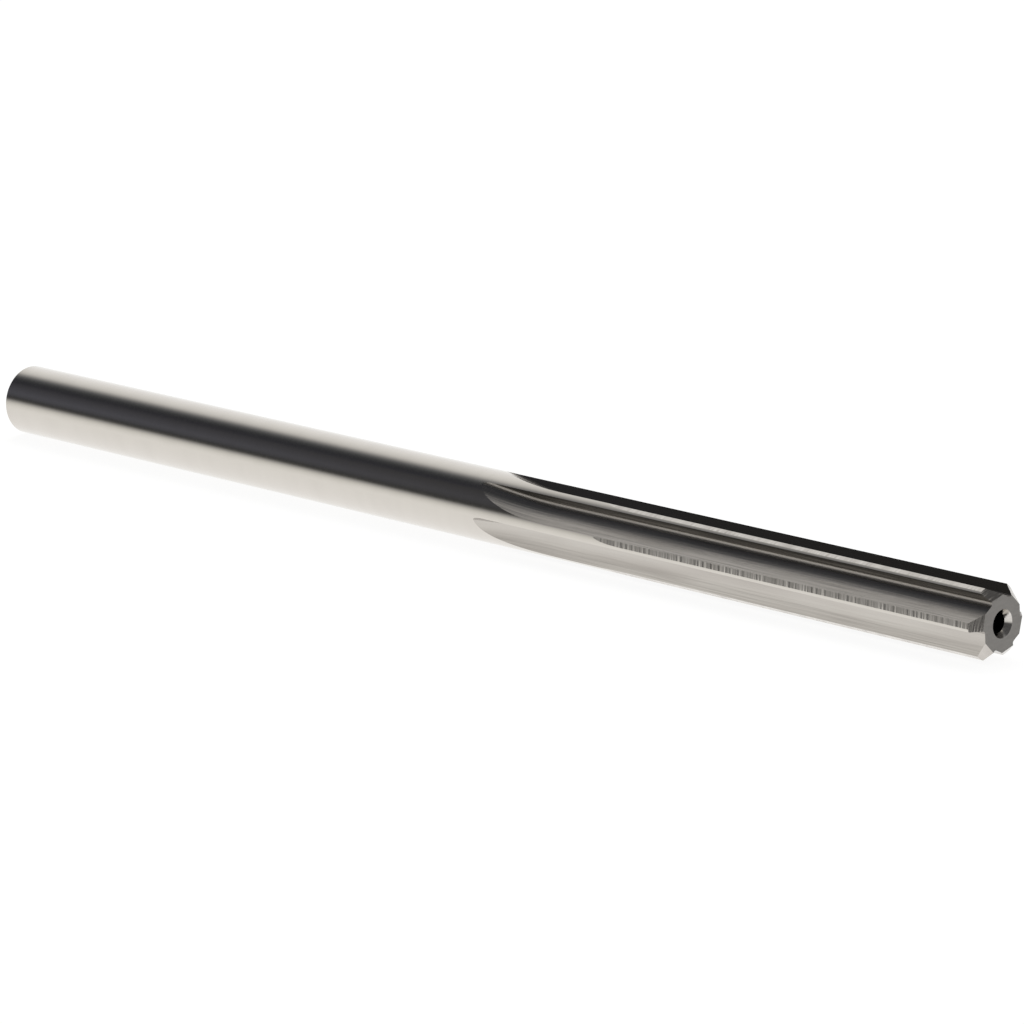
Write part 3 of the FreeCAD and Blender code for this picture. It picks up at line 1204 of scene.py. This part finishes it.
        # The room is turned so that the ramp's two ends meet below and behind the tool, where it is even.
        turned = add_node(
            tree,
            "ShaderNodeVectorRotate",
            {"rotation_type": "X_AXIS"},
            {"Vector": way, "Angle": -math.radians(self.room_start + 180)},
        ).outputs["Vector"]
        _, across, up = add_node(tree, "ShaderNodeSeparateXYZ", None, {"Vector": turned}).outputs
        over = add_node(
            tree, "ShaderNodeMath", {"operation": "ARCTAN2"}, {0: up, 1: across}
        ).outputs["Value"]
        arch = add_node(
            tree, "ShaderNodeValToRGB", None, {"Fac": self.ramp(tree, over, (-math.pi, math.pi))}
        )
        self.set_arch(arch.color_ramp)
        near = self.product(
            tree,
            self.product(
                tree, self.ramp(tree, x, self.near_side_x), self.ramp(tree, z, self.near_side_z)
            ),
            self.ramp(tree, y, self.near_side_y),
        )
        dimmed = add_node(
            tree,
            "ShaderNodeMix",
            {"data_type": "RGBA", "blend_type": "DARKEN"},
            {"Factor": near, 6: arch.outputs["Color"], 7: (*self.near_side, 1.0)},
        ).outputs[2]
        far = self.product(
            tree, self.ramp(tree, x, self.far_side_x), self.ramp(tree, z, self.far_side_z)
        )
        return add_node(
            tree,
            "ShaderNodeMix",
            {"data_type": "RGBA"},
            {"Factor": far, 6: dimmed, 7: (*self.far_side, 1.0)},
        ).outputs[2]

    def ramp(
        self, tree: bpy.types.NodeTree, value: bpy.types.NodeSocket, ends: tuple[float, float]
    ) -> bpy.types.NodeSocket:
        """Return a socket that goes from 0 to 1 as the value goes from one end to the other."""
        inputs = {"Value": value, "From Min": ends[0], "From Max": ends[1]}
        return add_node(tree, "ShaderNodeMapRange", None, inputs).outputs["Result"]

    def product(
        self, tree: bpy.types.NodeTree, first: bpy.types.NodeSocket, second: bpy.types.NodeSocket
    ) -> bpy.types.NodeSocket:
        """Return a socket with the two values multiplied."""
        return add_node(
            tree, "ShaderNodeMath", {"operation": "MULTIPLY"}, {0: first, 1: second}
        ).outputs["Value"]

    def set_arch(self, ramp: bpy.types.ColorRamp) -> None:
        """Put the room's stops on the colour ramp."""
        places = [(stop[0] - self.room_start) / 360 for stop in self.room]
        ramp.elements[0].position = places[0]
        ramp.elements[1].position = places[-1]
        for place in places[1:-1]:
            ramp.elements.new(place)
        for element, (_, *colour) in zip(ramp.elements, self.room):
            element.color = (*colour, 1.0)

    def hang_lamp(self) -> None:
        """Hang one wide soft lamp behind the tool and over it. The metal doesn't show it."""
        light = bpy.data.lights.new("soft_lamp", "AREA")
        light.shape = "DISK"
        light.size = self.lamp_size
        light.energy = self.lamp_power
        lamp = bpy.data.objects.new("soft_lamp", light)
        lamp.location = self.lamp_place
        lamp.rotation_euler = Vector(self.lamp_place).to_track_quat("Z", "Y").to_euler()
        lamp.visible_glossy = False
        bpy.context.scene.collection.objects.link(lamp)


def main() -> None:
    """Build the reamer and the studio, and report each piece."""
    logging.basicConfig(level=logging.INFO, format="%(name)s: %(message)s")
    bpy.context.scene.view_settings.view_transform = "Standard"
    Viewpoint().place()
    reamer = Reamer()
    piece = reamer.build()
    reamer.dress(piece)
    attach(piece, "root")
    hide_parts(CAD_NODE)
    log.info("%s: %d faces", piece.name, len(piece.data.polygons))
    Studio().build()


if __name__ == "__main__":
    main()
